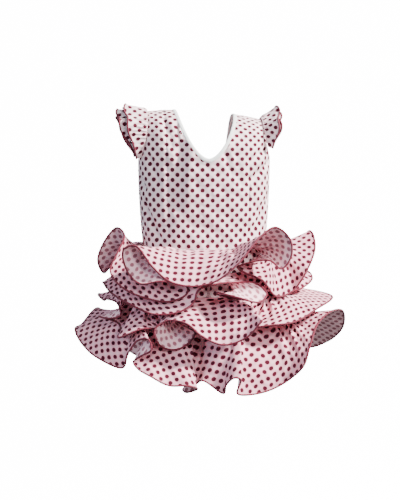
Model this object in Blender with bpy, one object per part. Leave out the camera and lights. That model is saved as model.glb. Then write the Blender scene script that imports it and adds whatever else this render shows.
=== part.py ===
"""Toddler's flamenco dress with four fluted flounces, as worn, with no wearer.

Lengths are in millimetres until a mesh is made, which is in metres. The origin lies midway
between the shoulders, on the shoulder ridge. +Z is up, the front faces -Y, and +X is the right
side of someone looking at the front. Angles round the body are in degrees: 0 is the centre
front, 90 the +X side seam and 180 the centre back.
"""

import math

import bpy
import numpy as np
from mathutils.geometry import delaunay_2d_cdt

MM = 0.001

WALL = 1.2
FLOUNCE_WALL = 1.0
SEAM_GAP = 0.3

ROUNDNESS = 2.3
CHEST_HALF_WIDTH = 98.0
WAIST_HALF_WIDTH = 92.0
BODY_HALF_DEPTH = 62.0
CHEST_Z = -75.0
WAIST_Z = -198.0
PRINCESS_SEAM_X = 61.0
SHOULDER_FALL = 9.0
SHOULDER_TILT = 0.075

ARMHOLE_Z = -72.0
ARMHOLE_SPAN = 33.0
ARMHOLE_CURVE = 3.4

NECK_HALF_WIDTH = 42.0
NECK_FRONT = {"drop": 67.0, "curve": 2.2, "blunt": 0.6}
NECK_BACK = {"drop": 115.0, "curve": 6.0, "blunt": 1.0}
BINDING_WIDTH = 5.0
BINDING_DROP = 6.0
BINDING_WALL = 2.0

PANEL_CELL = 13.0
PANEL_MARGIN = 6.0
PANEL_LOWER = 1.06
ANGLE_LENGTH = 1.45
SEAM_TURN = 0.12

BASE_HEM_Z = -312.0
BASE_FLARE = 16.0
BASE_FLARE_Z = -300.0

BUTTON_RADIUS = 5.0
BUTTON_THICKNESS = 2.2
BUTTON_Z = (-128.0, -152.0, -176.0)
BUTTON_FROM_EDGE = 7.0

# Each flounce: the height of its seam, its folds from the left side round the front to the right,
# and which of them, by seam angle, its hidden back repeats half a turn on. Where it repeats none, the
# back has plain flutes. Fold columns: seam angle where the fold starts (degrees), then where its hem
# edge lies: swing round the body (degrees), reach from the body's axis (mm), drop below the seam
# (mm), and bow, how far the cloth rises above a straight line to the hem (mm).
FLOUNCES = {
    "flounce_1": {
        "seam_z": -198.0,
        "turned": (),
        "front": (
            (-104, -98, 151, 45, 4),
            (-100, -94, 159, 24, 4),
            (-96, -90, 148, -7, 4),
            (-92, -85, 132, -27, 4),
            (-87, -74, 126, -18, 4),
            (-82, -69, 142, 5, 4),
            (-76, -67, 156, 29, 4),
            (-68, -55, 155, 50, 4),
            (-58, -42, 138, 64, 2),
            (-50, -29, 126, 67, 0),
            (-44, -19, 114, 56, 0),
            (-40, -20, 116, 44, 0),
            (-37, -32, 143, 36, 0),
            (-34, -43, 154, 40, 5),
            (-31, -52, 157, 20, 4),
            (-28, -54, 156, -5, 4),
            (-24, -47, 150, -12, 5),
            (-18, -37, 146, 15, 8),
            (-10, -28, 137, 36, 8),
            (-2, -14, 126, 44, 8),
            (6, 0, 132, 36, 8),
            (14, 13, 144, 9, 8),
            (20, 25, 148, -26, 7),
            (25, 35, 151, -38, 6),
            (30, 42, 162, -19, 8),
            (34, 42, 163, 6, 10),
            (38, 39, 153, 22, 11),
            (42, 34, 142, 10, 2),
            (46, 27, 118, 14, 0),
            (50, 23, 98, 24, 0),
            (54, 29, 103, 32, 0),
            (58, 39, 116, 42, 0),
            (65, 55, 120, 70, 2),
            (74, 67, 136, 66, 2),
            (82, 69, 154, 40, 2),
            (88, 81, 166, 5, 2),
            (93, 92, 162, -16, 2),
        ),
    },
    "flounce_2": {
        "seam_z": -232.0,
        "turned": (-72, 64),
        "front": (
            (-102, -98, 148, 28, 4),
            (-94, -86, 152, 20, 4),
            (-84, -71, 152, 28, 4),
            (-72, -53, 150, 38, 4),
            (-60, -38, 138, 51, 4),
            (-50, -23, 128, 47, 4),
            (-42, -14, 120, 34, 4),
            (-35, -11, 118, 17, 4),
            (-27, 2, 118, 8, 4),
            (-16, 18, 112, 8, 5),
            (-6, 30, 120, 10, 6),
            (1, 34, 136, 24, 6),
            (6, 27, 141, 34, 2),
            (12, 13, 137, 25, -6),
            (18, 3, 113, 21, -10),
            (23, 5, 98, 27, -11),
            (30, 22, 98, 34, -10),
            (40, 40, 104, 34, -4),
            (52, 56, 106, 32, -2),
            (64, 66, 114, 34, 0),
            (78, 73, 142, 32, 2),
            (90, 85, 163, 21, 2),
            (102, 97, 161, 13, 2),
        ),
    },
    "flounce_3": {
        "seam_z": -266.0,
        "turned": (-85, 74),
        "front": (
            (-100, -100, 152, 20, 4),
            (-92, -86, 146, 12, 8),
            (-85, -69, 142, 12, 9),
            (-80, -63, 146, 26, 7),
            (-76, -71, 156, 33, 0),
            (-72, -78, 163, 33, -6),
            (-68, -74, 138, 42, -10),
            (-63, -64, 144, 48, -8),
            (-56, -54, 165, 52, 2),
            (-50, -43, 148, 38, -4),
            (-45, -36, 116, 42, -4),
            (-41, -27, 98, 42, -5),
            (-37, -15, 98, 47, -5),
            (-33, -17, 112, 58, -4),
            (-30, -26, 123, 69, -2),
            (-27, -34, 138, 61, 0),
            (-23, -37, 139, 39, 1),
            (-18, -30, 133, 26, 2),
            (-11, -17, 140, 27, 1),
            (-2, -8, 143, 44, 4),
            (6, 5, 137, 58, 10),
            (14, 17, 150, 46, 8),
            (20, 23, 162, 22, 4),
            (25, 24, 150, 30, 0),
            (30, 20, 128, 36, -3),
            (35, 17, 112, 38, -5),
            (41, 24, 118, 40, -5),
            (49, 35, 141, 36, -2),
            (60, 47, 161, 33, 4),
            (74, 61, 176, 20, 4),
            (87, 86, 193, 13, 4),
        ),
    },
    "flounce_4": {
        "seam_z": -300.0,
        "turned": (-75, 74),
        "front": (
            (-101, -102, 187, 24, 6),
            (-93, -90, 194, 24, 8),
            (-84, -78, 189, 38, 8),
            (-75, -65, 180, 52, 8),
            (-66, -53, 161, 62, 6),
            (-60, -51, 157, 43, 2),
            (-55, -46, 151, 22, 4),
            (-50, -37, 155, 17, 4),
            (-46, -35, 158, 30, 5),
            (-42, -42, 158, 42, 5),
            (-38, -47, 156, 52, 2),
            (-34, -42, 161, 60, -2),
            (-29, -34, 164, 67, -2),
            (-23, -26, 153, 80, 0),
            (-17, -16, 149, 80, 0),
            (-13, -11, 133, 88, 0),
            (-10, -19, 124, 96, 0),
            (-7, -22, 116, 93, -7),
            (-3, -14, 108, 88, -9),
            (1, -8, 112, 81, -4),
            (5, 6, 126, 97, 3),
            (9, 7, 130, 84, 4),
            (12, 11, 140, 72, 4),
            (15, 14, 145, 74, 6),
            (18, 13, 138, 95, 8),
            (25, 24, 133, 101, 8),
            (34, 37, 142, 96, 8),
            (44, 44, 160, 81, 8),
            (54, 46, 179, 60, 6),
            (64, 50, 181, 35, 4),
            (74, 62, 178, 8, 2),
            (82, 72, 191, -5, 2),
            (88, 82, 209, 0, 2),
            (93, 92, 216, 33, 4),
            (98, 103, 208, 62, 4),
            (104, 114, 192, 77, 4),
        ),
    },
}
FLUTES = 5
FLUTE_ROW = {"lead": 3.0, "reach": (140.0, 8.0), "drop": (24.0, 10.0), "bow": 4.0}
FOLD_GROWTH = 1.5
PLAIN_REACH = 62.0
PLAIN_DROP = 32.0
HEM_STEPS = 144
DEPTH_STEPS = 4
FLOUNCE_OFF_BASE = 1.0

# Shoulder ruffles, two layers an armhole. Columns: name, side, where round the armhole it starts, how
# far its hem stands from the dress's middle plane, how far its seam and its hem lie outside the
# armhole edge, the waves round its hem, and their height.
SLEEVES = (
    ("sleeve_over_left", -1, 0.03, 117.0, 2.6, 8.0, 5.0, 3.2),
    ("sleeve_under_left", -1, 0.03, 128.0, 0.6, -0.5, 4.5, 3.3),
    ("sleeve_over_right", 1, 0.1, 108.0, 2.6, 17.0, 5.0, 3.2),
    ("sleeve_under_right", 1, 0.1, 113.0, 0.6, 7.0, 4.5, 3.3),
)
SLEEVE_STEPS = 38
SLEEVE_FULLNESS = 4
SLEEVE_LEAST_LENGTH = 6.0
SLEEVE_LEAST_SPREAD = 0.4
SLEEVE_FROM_PANEL = 0.45


def clear_scene():
    for thing in list(bpy.data.objects):
        bpy.data.objects.remove(thing, do_unlink=True)


def material(name, colour, roughness):
    made = bpy.data.materials.new(name)
    made.use_nodes = True
    shader = made.node_tree.nodes["Principled BSDF"]
    shader.inputs["Base Color"].default_value = (*colour, 1.0)
    shader.inputs["Roughness"].default_value = roughness
    shader.inputs["Metallic"].default_value = 0.0
    return made


def grid_normals(grid, wrap):
    """Unit normals of a grid of points, from its neighbours' differences. wrap joins its ends."""
    if wrap:
        along = np.roll(grid, -1, axis=0) - np.roll(grid, 1, axis=0)
    else:
        along = np.gradient(grid, axis=0)
    normal = np.cross(along, np.gradient(grid, axis=1))
    return normal / np.linalg.norm(normal, axis=2, keepdims=True)


def two_triangles(a, b, c, d):
    """Each quad a b c d as two triangles, all cut along the same diagonal."""
    return np.concatenate([np.stack([a, b, c], -1).reshape(-1, 3), np.stack([a, c, d], -1).reshape(-1, 3)])


def wall_object(name, outer, inner, faces, finish):
    """One closed wall: the outer face's points and triangles, the inner points that match them, and
    a rim along each edge that only one triangle has."""
    count = len(outer)
    sides = np.concatenate([faces[:, [0, 1]], faces[:, [1, 2]], faces[:, [2, 0]]])
    code = sides[:, 0] * count + sides[:, 1]
    rim = sides[~np.isin(code, sides[:, 1] * count + sides[:, 0])]
    rim_faces = two_triangles(rim[:, 1], rim[:, 0], rim[:, 0] + count, rim[:, 1] + count)
    triangles = np.concatenate([faces, faces[:, ::-1] + count, rim_faces])
    mesh = bpy.data.meshes.new(name)
    mesh.from_pydata((np.concatenate([outer, inner]) * MM).tolist(), [], triangles.tolist())
    mesh.materials.append(finish)
    mesh.shade_smooth()
    mesh.set_sharp_from_angle(angle=math.radians(50))
    made = bpy.data.objects.new(name, mesh)
    bpy.context.collection.objects.link(made)
    return made


def grid_wall(name, outer, inner, wrap, finish):
    """A wall between two grids of points. wrap joins the grids' ends."""
    columns, rows = outer.shape[:2]
    number = np.arange(columns * rows).reshape(columns, rows)
    here = number if wrap else number[:-1]
    after = np.roll(number, -1, axis=0) if wrap else number[1:]
    faces = two_triangles(here[:, :-1], after[:, :-1], after[:, 1:], here[:, 1:])
    wall_object(name, outer.reshape(-1, 3), inner.reshape(-1, 3), faces, finish)


def superellipse(angle, half_width, half_depth):
    """X and Y of the body's section: |x/half_width|^n + |y/half_depth|^n = 1, n the roundness."""
    sine = np.sin(np.radians(angle))
    cosine = np.cos(np.radians(angle))
    x = half_width * np.sign(sine) * np.abs(sine) ** (2 / ROUNDNESS)
    y = -half_depth * np.sign(cosine) * np.abs(cosine) ** (2 / ROUNDNESS)
    return x, y


def angle_at_x(x):
    """Angle round the chest at which the section is x wide, for 0 <= x <= its half width."""
    return np.degrees(np.arcsin(np.minimum(np.abs(x) / CHEST_HALF_WIDTH, 1.0) ** (ROUNDNESS / 2)))


def half_width_at(z):
    """Half width of the bodice: full at the chest, easing in to the waist."""
    down = np.clip((CHEST_Z - z) / (CHEST_Z - WAIST_Z), 0, 1)
    return CHEST_HALF_WIDTH - (CHEST_HALF_WIDTH - WAIST_HALF_WIDTH) * down**2


def bodice_point(angle, climb):
    """A point of the bodice's outer face, climb mm up along the cloth from the waist seam. Above the
    chest the front and the back lean in on a quarter circle and meet at the shoulder ridge, which
    falls towards the arms and, as the dress is worn, a little more on the +X side."""
    lean = np.maximum(climb - (CHEST_Z - WAIST_Z), 0) / -CHEST_Z
    z = np.where(lean > 0, CHEST_Z - CHEST_Z * np.sin(lean), WAIST_Z + climb)
    x, y = superellipse(angle, half_width_at(z), BODY_HALF_DEPTH)
    fall = SHOULDER_FALL * (x / CHEST_HALF_WIDTH) ** 2 + SHOULDER_TILT * x
    return np.stack([x, y * np.cos(lean), z - fall * np.sin(lean) ** 2], -1)


def bodice_normal(angle, climb):
    """Outward unit normal of the bodice's outer face."""
    step = 0.05
    around = bodice_point(angle + step, climb) - bodice_point(angle - step, climb)
    upward = bodice_point(angle, climb + step) - bodice_point(angle, climb - step)
    normal = np.cross(around, upward)
    return normal / np.linalg.norm(normal, axis=-1, keepdims=True)


def climb_to(z):
    """How far up along the cloth the height z lies. Near the ridge it stops half a seam gap short."""
    lean = np.arcsin(np.clip((z - CHEST_Z) / -CHEST_Z, 0, 1))
    over_chest = CHEST_Z - WAIST_Z - CHEST_Z * lean
    ridge = CHEST_Z - WAIST_Z - CHEST_Z * math.pi / 2 - SEAM_GAP
    return np.minimum(np.where(z > CHEST_Z, over_chest, z - WAIST_Z), ridge)


def armhole_edge(share):
    """Angle and climb of the armhole edge: share 0 at the shoulder ridge, 1 at the underarm."""
    ridge = climb_to(0.0)
    angle = 90 - ARMHOLE_SPAN * np.sqrt(1 - share**ARMHOLE_CURVE)
    return angle, ridge + (climb_to(ARMHOLE_Z) - ridge) * share


def down_neck(steps):
    """Shares down the front neck edge, closer together towards its blunt lowest point."""
    return 1 - np.linspace(1, 0, steps) ** 1.6


def neck_edge(share, drop, curve, blunt, lower=0.0):
    """Angle and climb of the neck edge: share 0 at the shoulder ridge, 1 at the lowest point. lower
    is 0 at the garment's edge, 1 at the binding's seam, a little more at the panel under it."""
    ridge = climb_to(0.0)
    half_width = NECK_HALF_WIDTH + BINDING_WIDTH * lower
    depth = ridge - climb_to(-drop - BINDING_DROP * lower)
    return angle_at_x(half_width * (1 - share**curve) ** blunt), ridge - depth * share


def outline(*edges):
    """One closed outline of angles and climbs from edges that each start where the last one ends."""
    pieces = [np.stack(np.broadcast_arrays(*edge), -1)[:-1] for edge in edges]
    return np.concatenate(pieces)


def inside_points(border):
    """A staggered field of points in a flat outline, clear of its edges, in mm."""
    low, high = border.min(axis=0), border.max(axis=0)
    across = np.arange(low[0], high[0], PANEL_CELL)
    x, y = np.meshgrid(across, np.arange(low[1], high[1], PANEL_CELL * 0.87))
    x[1::2] += PANEL_CELL / 2
    points = np.stack([x.ravel(), y.ravel()], -1)
    start = border[None]
    along = np.roll(border, -1, axis=0)[None] - start
    share = ((points[:, None] - start) * along).sum(-1) / (along**2).sum(-1)
    nearest = start + along * np.clip(share, 0, 1)[..., None]
    distance = np.linalg.norm(points[:, None] - nearest, axis=-1).min(axis=1)
    return points[distance > PANEL_MARGIN]


def panel(name, border, finish):
    """A bodice panel cut to an outline of angles and climbs and laid on the body's surface."""
    flat = border * np.array([ANGLE_LENGTH, 1.0])
    points = np.concatenate([flat, inside_points(flat)])
    ring = [list(range(len(flat)))]
    corners, _, faces, *_ = delaunay_2d_cdt([tuple(point) for point in points], [], ring, 1, 1e-6)
    place = np.array([tuple(corner) for corner in corners]) / np.array([ANGLE_LENGTH, 1.0])
    outer = bodice_point(place[:, 0], place[:, 1])
    inner = outer - bodice_normal(place[:, 0], place[:, 1]) * WALL
    wall_object(name, outer, inner, np.array(faces), finish)


def foot_edge(start, end):
    """The waist seam from one angle to another."""
    return np.linspace(start, end, 2 + int(abs(end - start) / 9)), 0.0


def seam_edge(angle, start, end):
    """A seam straight up or down the body at one angle."""
    return angle, np.linspace(start, end, 18)


def shoulder_edge(start, end):
    """The shoulder ridge from one angle to another."""
    return np.linspace(start, end, 2 + int(abs(end - start) / 7)), climb_to(0.0)


def front_center(finish):
    """From one princess seam to the other, with the V neck in its top edge."""
    top = climb_to(0.0)
    seam = angle_at_x(PRINCESS_SEAM_X - SEAM_GAP / 2)
    neck, climb = neck_edge(down_neck(12), **NECK_FRONT, lower=PANEL_LOWER)
    border = outline(
        foot_edge(-seam, seam),
        seam_edge(seam, 0, top),
        shoulder_edge(seam, neck[0]),
        (neck, climb),
        (-neck[::-1], climb[::-1]),
        shoulder_edge(-neck[0], -seam),
        seam_edge(-seam, top, 0),
    )
    panel("front_center", border, finish)


def front_side(word, side, finish):
    """From the princess seam to the side seam, with the armhole in its top edge."""
    top = climb_to(0.0)
    seam = angle_at_x(PRINCESS_SEAM_X + SEAM_GAP / 2)
    arm, climb = armhole_edge(np.linspace(1, 0, 9))
    border = outline(
        foot_edge(seam, 90 - SEAM_TURN),
        seam_edge(90 - SEAM_TURN, 0, climb[0]),
        (np.minimum(arm, 90 - SEAM_TURN), climb),
        shoulder_edge(arm[-1], seam),
        seam_edge(seam, top, 0),
    )
    panel(f"front_side_{word}", border * np.array([side, 1]), finish)


def back(word, side, finish):
    """From the side seam to the centre back, below the armhole, the shoulder and the back scoop."""
    centre = 180 - angle_at_x(SEAM_GAP / 2)
    arm, arm_climb = armhole_edge(np.linspace(0, 1, 9))
    neck, neck_climb = neck_edge(np.linspace(1, 0, 13), **NECK_BACK, lower=PANEL_LOWER)
    neck = np.minimum(180 - neck, centre)
    border = outline(
        foot_edge(90 + SEAM_TURN, centre),
        seam_edge(centre, 0, neck_climb[0]),
        (neck, neck_climb),
        shoulder_edge(neck[-1], 180 - arm[0]),
        (np.maximum(180 - arm, 90 + SEAM_TURN), arm_climb),
        seam_edge(90 + SEAM_TURN, arm_climb[-1], 0),
    )
    panel(f"back_{word}", border * np.array([side, 1]), finish)


def neck_binding(finish):
    """A narrow strip round the neck edge, open at the centre back."""
    walls = ([], [])
    for lower in (1.0, 0.0):
        front, front_climb = neck_edge(down_neck(12), **NECK_FRONT, lower=lower)
        over, over_climb = neck_edge(np.linspace(1, 0, 13), **NECK_BACK, lower=lower)
        over[0] = angle_at_x(SEAM_GAP / 2)
        half = np.concatenate([180 - over, front])
        climb = np.concatenate([over_climb, front_climb])
        angle = np.concatenate([-half, half[-2::-1]])
        climb = np.concatenate([climb, climb[-2::-1]])
        outer = bodice_point(angle, climb)
        walls[0].append(outer)
        walls[1].append(outer - bodice_normal(angle, climb) * BINDING_WALL)
    grid_wall("neck_binding", np.stack(walls[0], 1), np.stack(walls[1], 1), False, finish)


def armhole_loop(turn, side):
    """The armhole edge and the way out of the loop at each point. turn runs 0 to 1 from the front
    underarm, over the shoulder, to the back underarm."""
    angle, climb = armhole_edge(np.abs(1 - 2 * turn))
    edge = bodice_point(side * np.where(turn <= 0.5, angle, 180 - angle), climb)
    away = edge - np.array([0.0, 0.0, ARMHOLE_Z * 0.55])
    away[:, 0] = 0
    return edge, away / np.linalg.norm(away, axis=1, keepdims=True)


def sleeve(name, side, first, hem_x, seam_out, hem_out, waves, height, finish):
    """A gathered strip that stands out from the armhole. Its hem lies hem_x from the middle plane,
    drawn in to the armhole at the underarm, and waves outwards and sideways in turn."""
    turn = np.linspace(first, 1 - first, SLEEVE_STEPS)
    edge, away = armhole_loop(turn, side)
    fullness = 1 - np.abs((2 * turn - 1) / (1 - 2 * first)) ** SLEEVE_FULLNESS
    start = np.abs(edge[:, 0]) + SLEEVE_FROM_PANEL
    reach = SLEEVE_LEAST_LENGTH + (hem_x - start - SLEEVE_LEAST_LENGTH) * fullness
    spread = (hem_out - seam_out) * (SLEEVE_LEAST_SPREAD + (1 - SLEEVE_LEAST_SPREAD) * fullness)
    wave = height * np.sin(2 * np.pi * waves * turn) * fullness
    scallop = 0.6 * height * np.cos(2 * np.pi * waves * turn) * fullness
    rows = []
    for share in (0.0, 0.5, 1.0):
        out = seam_out + spread * share + wave * share
        row = edge + away * out[:, None]
        row[:, 0] = side * (start + (reach + scallop * share) * share)
        rows.append(row)
    grid = np.stack(rows, 1)[::side]
    half = grid_normals(grid, False) * WALL / 2
    grid_wall(name, grid + half, grid - half, False, finish)


def base_half_sizes(z):
    """Half width and half depth of the base skirt, which widens evenly below the waist seam."""
    flare = BASE_FLARE * (WAIST_Z - z) / (WAIST_Z - BASE_FLARE_Z)
    return WAIST_HALF_WIDTH + flare, BODY_HALF_DEPTH + flare


def skirt_base(finish):
    """The plain flared underskirt that the flounces are sewn to."""
    angle = np.linspace(0, 360, 44, endpoint=False)[:, None]
    z = np.linspace(BASE_HEM_Z, WAIST_Z - SEAM_GAP, 3)[None, :]
    walls = []
    for inset in (0.0, WALL):
        half_width, half_depth = base_half_sizes(z)
        x, y = superellipse(angle, half_width - inset, half_depth - inset)
        walls.append(np.stack([x, y, np.broadcast_to(z, x.shape)], -1))
    grid_wall("skirt_base", *walls, True, finish)


def closed_curve(knots, values, at, period):
    """A smooth closed curve through values at increasing knots, with no overshoot at close knots.
    Each stretch is a cubic whose end slopes are the mean of its neighbours' slopes."""
    knots = np.asarray(knots, float)
    gap = np.diff(np.append(knots, knots[0] + period))[:, None]
    slope = (np.roll(values, -1, axis=0) - values) / gap
    before = np.roll(gap, 1, axis=0)
    tangent = (np.roll(slope, 1, axis=0) * gap + slope * before) / (gap + before)
    place = np.searchsorted(knots, at, side="right") - 1
    after = (place + 1) % len(knots)
    width = gap[place]
    t = (at - knots[place])[:, None] / width
    start = values[place] * (1 + 2 * t) * (1 - t) ** 2 + tangent[place] * width * t * (1 - t) ** 2
    end = values[after] * (3 - 2 * t) * t**2 + tangent[after] * width * t**2 * (t - 1)
    return start + end


def plain_flutes(first, last):
    """Even flutes between two seam angles: the hem swings by lead * sin t, and its reach and its drop
    are a mean value and a height times cos t, t turning once a flute."""
    seam = np.linspace(first, last, 4 * FLUTES + 2)[1:-1]
    turn = 2 * np.pi * FLUTES * (seam - first) / (last - first)
    swing = seam + FLUTE_ROW["lead"] * np.sin(turn)
    reach = FLUTE_ROW["reach"][0] + FLUTE_ROW["reach"][1] * np.cos(turn)
    drop = FLUTE_ROW["drop"][0] + FLUTE_ROW["drop"][1] * np.cos(turn)
    return np.stack([seam, swing, reach, drop, np.full_like(seam, FLUTE_ROW["bow"])], -1)


def all_folds(front, turned):
    """The front's folds, then the hidden back's: those whose seam angle lies in turned, half a turn
    on, or plain flutes."""
    rows = np.array(front, float)
    if not turned:
        return np.concatenate([rows, plain_flutes(rows[-1, 0], rows[0, 0] + 360)])
    kept = rows[(rows[:, 0] >= turned[0]) & (rows[:, 0] <= turned[1])]
    return np.concatenate([rows, kept + np.array([180, 180, 0, 0, 0])])


def flounce(name, seam_z, turned, front, finish):
    """A flounce from its seam ring to its hem curve. It leaves the seam unfolded, as a plain skirt,
    and its folds grow with share ** FOLD_GROWTH, so that they don't press into each other there."""
    seam, swing, reach, drop, bow = all_folds(front, turned).T
    turn = np.radians(swing)
    hem = np.stack([reach * np.sin(turn), -reach * np.cos(turn), seam_z - drop, bow], -1)
    steps = np.sqrt(np.linalg.norm(np.roll(hem, -1, axis=0) - hem, axis=1))
    knots = np.concatenate([[0], np.cumsum(steps)])
    at = np.linspace(0, knots[-1], HEM_STEPS, endpoint=False)
    hem = closed_curve(knots[:-1], hem, at, knots[-1])
    hem, bow = hem[:, :3], hem[:, 3:]
    angle = np.interp(at, knots, np.append(seam, seam[0] + 360))
    half_width, half_depth = base_half_sizes(seam_z)
    x, y = superellipse(angle, half_width + FLOUNCE_OFF_BASE, half_depth + FLOUNCE_OFF_BASE)
    ring = np.stack([x, y, np.full_like(x, seam_z - FLOUNCE_WALL)], -1)
    outward = ring / np.linalg.norm(ring[:, :2], axis=1, keepdims=True) * np.array([1, 1, 0])
    plain = ring + outward * PLAIN_REACH - np.array([0, 0, PLAIN_DROP])
    chord = hem - ring
    chord /= np.linalg.norm(chord, axis=1, keepdims=True)
    rise = np.array([0.0, 0.0, 1.0]) - chord * chord[:, 2:]
    rise /= np.linalg.norm(rise, axis=1, keepdims=True)
    share = np.linspace(1, 0, DEPTH_STEPS + 1)[:, None, None]
    grown = share**FOLD_GROWTH
    grid = (1 - share) * ring + (share - grown) * plain + grown * hem
    grid = grid + 4 * share * (1 - share) * bow * rise
    grid = grid.transpose(1, 0, 2)
    normal = grid_normals(grid, True)
    normal[:, -1] = 0.3 * outward + np.array([0, 0, 0.95])
    half = normal * FLOUNCE_WALL / 2
    grid_wall(name, grid + half, grid - half, True, finish)


def button(name, z, finish):
    """A small flat button on the left back panel, near its centre edge."""
    bpy.ops.mesh.primitive_cylinder_add(vertices=20, radius=BUTTON_RADIUS * MM, depth=BUTTON_THICKNESS * MM)
    made = bpy.context.object
    made.name = name
    made.data.name = name
    stand = BODY_HALF_DEPTH + SEAM_GAP + BUTTON_THICKNESS / 2
    made.location = (-BUTTON_FROM_EDGE * MM, stand * MM, z * MM)
    made.rotation_euler = (math.radians(90), 0, 0)
    bevel = made.modifiers.new("Rounded rim", "BEVEL")
    bevel.width = 0.5 * MM
    bevel.segments = 1
    made.data.materials.append(finish)
    return made


def build():
    clear_scene()
    dotted = material("Dotted cotton", (0.80, 0.74, 0.75), 0.85)
    white = material("White binding", (0.86, 0.87, 0.86), 0.8)
    plastic = material("White button", (0.9, 0.9, 0.88), 0.35)
    front_center(dotted)
    for word, side in (("left", -1), ("right", 1)):
        front_side(word, side, dotted)
        back(word, side, dotted)
    neck_binding(white)
    for row in SLEEVES:
        sleeve(*row, dotted)
    skirt_base(dotted)
    for name, sizes in FLOUNCES.items():
        flounce(name, **sizes, finish=dotted)
    for number, z in enumerate(BUTTON_Z, 1):
        button(f"button_{number}", z, plastic)


build()
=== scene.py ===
"""Toddler's flamenco dress: the look of the cloth, its dots, seams, hems and buttons.

Lengths are in millimetres until a mesh is made, which is in metres. Angles round the body are in
degrees: 0 is the centre front, 90 the +X side seam and 180 the centre back. Each cloth surface is
worked out as whole arrays, and carries the flat pattern it was cut from as its UV map, in metres.
The studio and the camera are in metres too.
"""

import math

import bpy
import numpy as np
from mathutils.geometry import delaunay_2d_cdt
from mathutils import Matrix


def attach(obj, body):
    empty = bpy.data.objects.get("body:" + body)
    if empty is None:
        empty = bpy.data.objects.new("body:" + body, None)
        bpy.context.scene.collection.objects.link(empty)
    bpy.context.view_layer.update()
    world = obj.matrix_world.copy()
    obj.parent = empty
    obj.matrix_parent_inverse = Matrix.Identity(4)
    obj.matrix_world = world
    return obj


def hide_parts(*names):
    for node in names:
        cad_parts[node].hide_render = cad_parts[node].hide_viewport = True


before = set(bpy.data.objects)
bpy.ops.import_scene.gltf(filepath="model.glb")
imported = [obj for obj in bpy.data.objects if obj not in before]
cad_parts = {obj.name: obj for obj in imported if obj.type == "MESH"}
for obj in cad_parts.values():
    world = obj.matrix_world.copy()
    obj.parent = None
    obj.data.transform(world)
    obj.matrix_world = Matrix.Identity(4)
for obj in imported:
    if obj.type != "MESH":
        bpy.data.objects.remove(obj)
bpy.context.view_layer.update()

MM = 0.001
CLOTH = 0.5
SEAM_GAP = 0.3
SHARP_ANGLE = 60

# The body that fills the dress, down to the waist: see superellipse, half_width_at and bodice_point.
ROUNDNESS = 2.3
CHEST_HALF_WIDTH = 98.0
WAIST_HALF_WIDTH = 92.0
BODY_HALF_DEPTH = 62.0
CHEST_Z = -75.0
WAIST_Z = -198.0
PRINCESS_SEAM_X = 61.0
SHOULDER_FALL = 9.0
SHOULDER_TILT = 0.075

# The edges of the armholes, the neck and its binding: see armhole_edge, neck_edge and neck_binding.
ARMHOLE_Z = -72.0
ARMHOLE_SPAN = 33.0
ARMHOLE_CURVE = 3.4
NECK_HALF_WIDTH = 42.0
NECK_FRONT = {"drop": 67.0, "curve": 2.2, "blunt": 0.6}
NECK_BACK = {"drop": 115.0, "curve": 6.0, "blunt": 1.0}
NECK_CROWDING = 1.6
PANEL_LOWER = 0.9
BINDING_WIDTH = 5.0
BINDING_DROP = 6.0
BINDING_BULGE = 1.1
BINDING_SINK = 0.4

# The bodice panels' triangles: their size, the height of a row of them and how clear they stay of an
# edge (mm), the spacing of the edges' points (degrees round and mm up), the number of points down
# half an armhole, and how long a degree round the body is taken to be (mm).
PANEL_CELL = 3.6
PANEL_ROW = 0.87 * PANEL_CELL
PANEL_MARGIN = 1.6
EDGE_TURN = 2
EDGE_CLIMB = 3
ARMHOLE_STEPS = 50
ANGLE_LENGTH = 1.45

# The underskirt, which has widened by BASE_FLARE at BASE_FLARE_Z.
BASE_HEM_Z = -312.0
BASE_FLARE = 16.0
BASE_FLARE_Z = -300.0
BASE_COLUMNS = 240
BASE_ROWS = 40

# The print: the dots' lattice and size, how soft and how ragged their edges are, how far and how
# deeply their red has bled, and where one dot of the bodice lies.
DOT_PITCH = 10.45
DOT_RADIUS = 3.2
INK_EDGE = 0.3
INK_RAGGED = 0.7
INK_BLEED = 2.6
INK_BLEED_DEPTH = 0.4
BODICE_DOT = (5.1, 55.8)

# Soft creases of the bodice. Columns: where each starts and ends, as its distance round from the
# centre front and its climb from the waist seam (mm), its depth, and its half width (mm). A crease of
# negative depth is a ridge.
CREASES = (
    (-38, 178, -47, 62, 5.6, 9),
    (-27, 150, -31, 86, -2.4, 8),
    (-58, 120, -60, 40, 2.7, 6),
    (-104, 62, -80, 16, 5.4, 5),
    (-124, 104, -104, 88, 4.9, 5),
    (-92, 132, -76, 96, 3.2, 5),
    (-64, 196, -54, 150, 3.2, 5),
    (19, 152, 33, 110, 4.3, 5),
    (40, 138, 47, 96, 2.4, 5),
    (104, 122, 64, 100, 4.1, 5),
    (92, 142, 62, 127, 3.2, 5),
    (110, 70, 84, 52, 2.7, 6),
    (70, 20, 92, 46, 3.2, 6),
    (8, 24, -22, 34, 2.2, 8),
    (148, 60, 176, 98, 4.3, 6),
    (158, 134, 188, 112, 3.2, 5),
    (206, 22, 236, 58, 3.8, 8),
    (-150, 70, -182, 104, 4.3, 6),
    (-160, 140, -190, 116, 3.0, 5),
    (-208, 18, -238, 52, 3.8, 8),
)
# The bodice's seams and the ripples above its waist: see relief.
SEAM_GROOVE = 0.9
SEAM_GROOVE_WIDTH = 1.5
PUCKER = 0.9
PUCKER_WIDTH = 5.0
WAIST_RIPPLE_HEIGHT = 0.5
WAIST_RIPPLE_CLIMB = 16.0

# The buttons. BUTTON_HOLE_OUT is how far a hole lies from the middle, and BUTTON_HOLE_SQUARE the
# square of a hole's radius.
BUTTON_RADIUS = 5.0
BUTTON_HALF_THICKNESS = 1.1
BUTTON_HOLE_OUT = 1.3
BUTTON_HOLE_SQUARE = 0.45
BUTTON_HOLE_DEPTH = 1.1
BUTTON_Z = (-128.0, -152.0, -176.0)
BUTTON_FROM_EDGE = 7.0

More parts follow.
